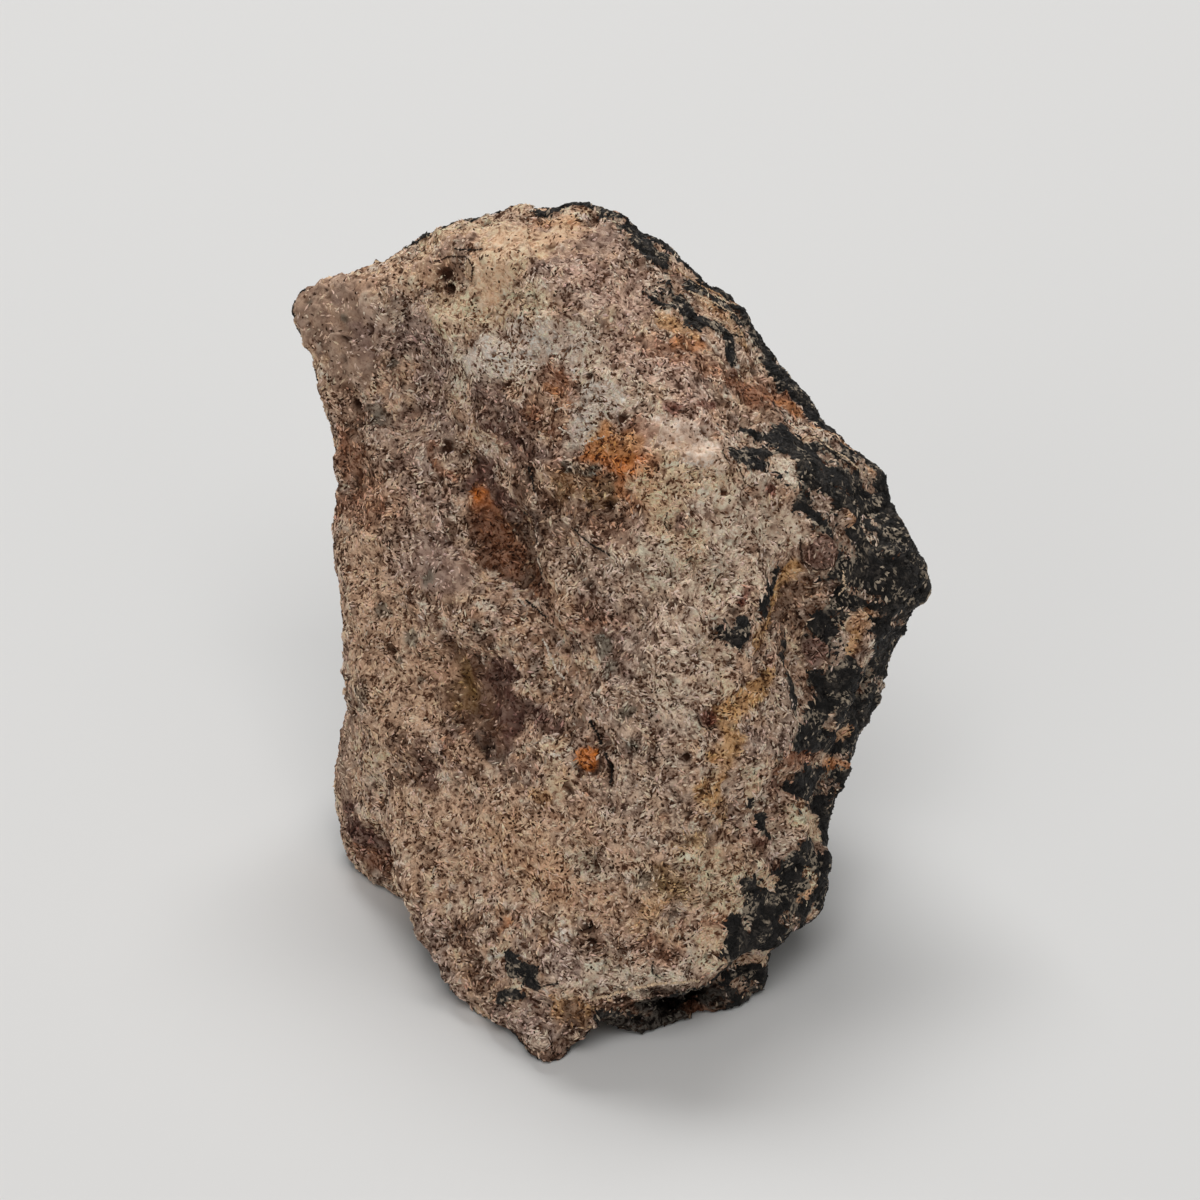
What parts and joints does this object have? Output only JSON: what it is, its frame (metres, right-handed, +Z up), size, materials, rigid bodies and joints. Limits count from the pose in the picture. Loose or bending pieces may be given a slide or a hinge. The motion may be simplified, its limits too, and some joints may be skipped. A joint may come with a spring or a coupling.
{
  "type": "chondrite meteorite",
  "caption": "Fist-shaped natural stone with a broken, rust-stained face, a dark fused crust behind, hollows and a small flat spot below.",
  "frame": {"origin": "middle of the stone's footprint box, on the surface that it stands on", "axes": "+X to the right of the broken face as seen from the front, +Y from the broken face to the crusted back, +Z up"},
  "size_m": [0.0382, 0.0406, 0.038],
  "materials": {
    "meteorite_stone": "weathered chondrite: granular tan and grey with rust stains on the broken face, dull black fused crust at the rim, sides and back"
  },
  "bodies": {
    "root": {"meteorite_stone": "meteorite_stone"}
  },
  "joints": []
}
